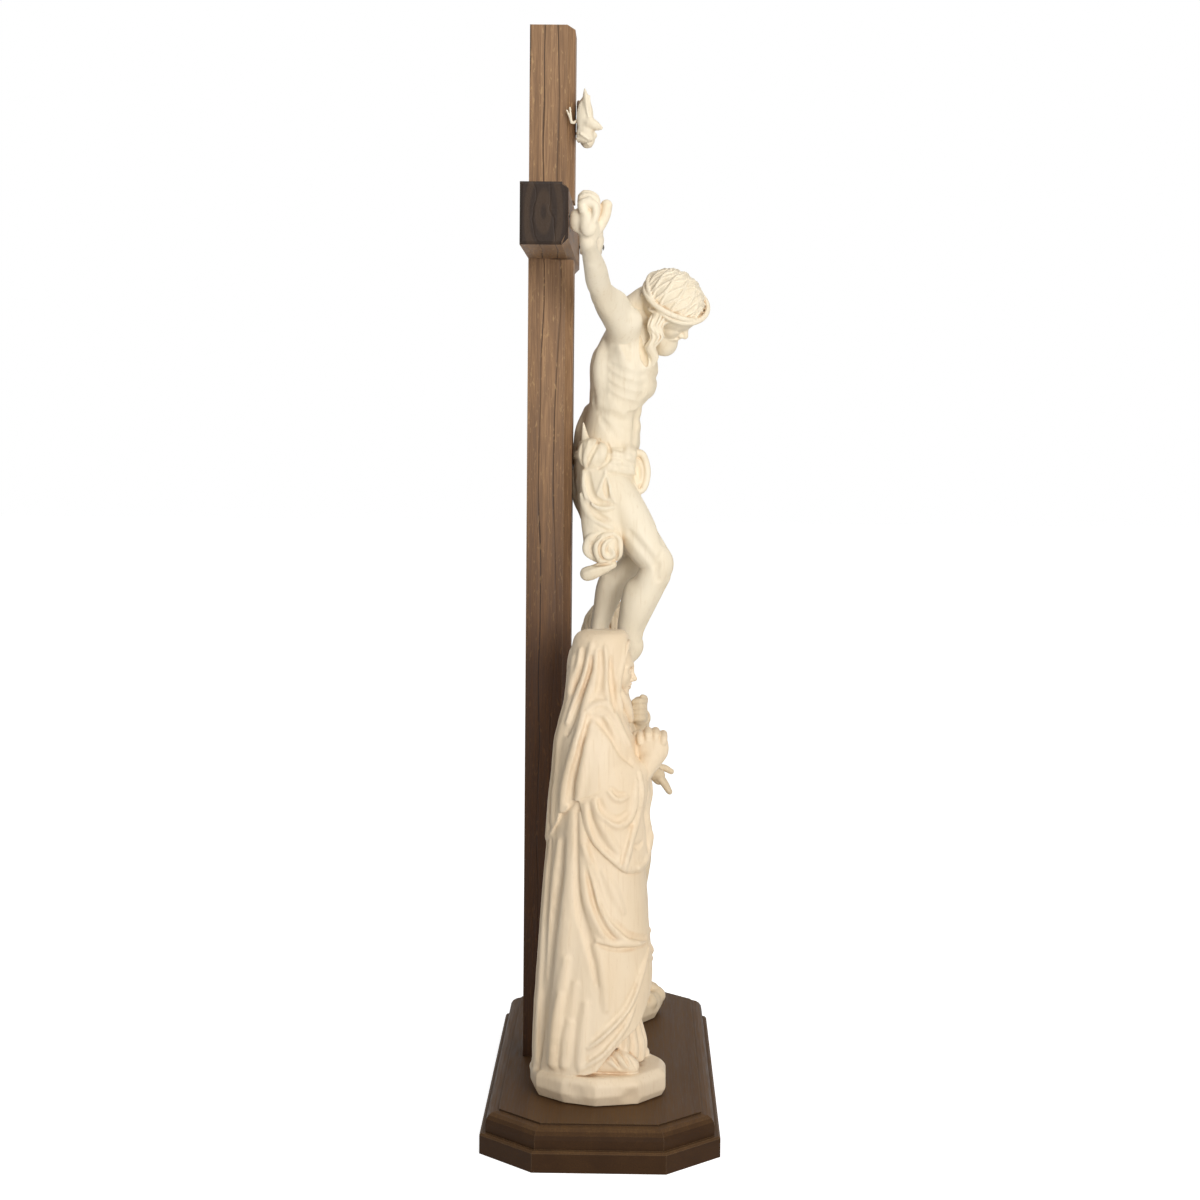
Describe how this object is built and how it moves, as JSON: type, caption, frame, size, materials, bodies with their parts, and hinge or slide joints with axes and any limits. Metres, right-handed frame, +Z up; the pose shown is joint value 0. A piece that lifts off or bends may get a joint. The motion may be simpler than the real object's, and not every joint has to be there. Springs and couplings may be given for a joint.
{
  "type": "crucifixion group",
  "caption": "Carved wooden crucifixion group: hanging figure on a stained cross, with a veiled woman and a young man standing on a moulded base.",
  "frame": {"origin": "centre of the underside of the base", "axes": "+Z up along the post, the group faces -Y, +X towards the hanging figure's own left"},
  "size_m": [0.23, 0.099, 0.471],
  "materials": {
    "dark_stained_wood": "dark brown stain under satin varnish",
    "brown_stained_wood": "brown stain with golden fibres, satin varnish",
    "carved_pale_wood": "bare carved maple or lime, fine tool marks, waxed matt",
    "beech_dowel_wood": "turned beech, unfinished",
    "fastener_steel": "plain steel"
  },
  "bodies": {
    "root": {"base_board": "dark_stained_wood", "post": "brown_stained_wood", "crossbeam": "brown_stained_wood", "titulus_scroll": "carved_pale_wood", "corpus_body": "carved_pale_wood", "corpus_right_arm": "carved_pale_wood", "corpus_left_arm": "carved_pale_wood", "veiled_woman_statue": "carved_pale_wood", "disciple_statue": "carved_pale_wood", "right_arm_dowel": "beech_dowel_wood", "left_arm_dowel": "beech_dowel_wood", "right_hand_nail": "fastener_steel", "left_hand_nail": "fastener_steel", "foot_nail": "fastener_steel", "corpus_screw": "fastener_steel", "post_screw": "fastener_steel", "woman_screw": "fastener_steel", "disciple_screw": "fastener_steel", "lap_screw": "fastener_steel", "titulus_nail": "fastener_steel"}
  },
  "joints": []
}
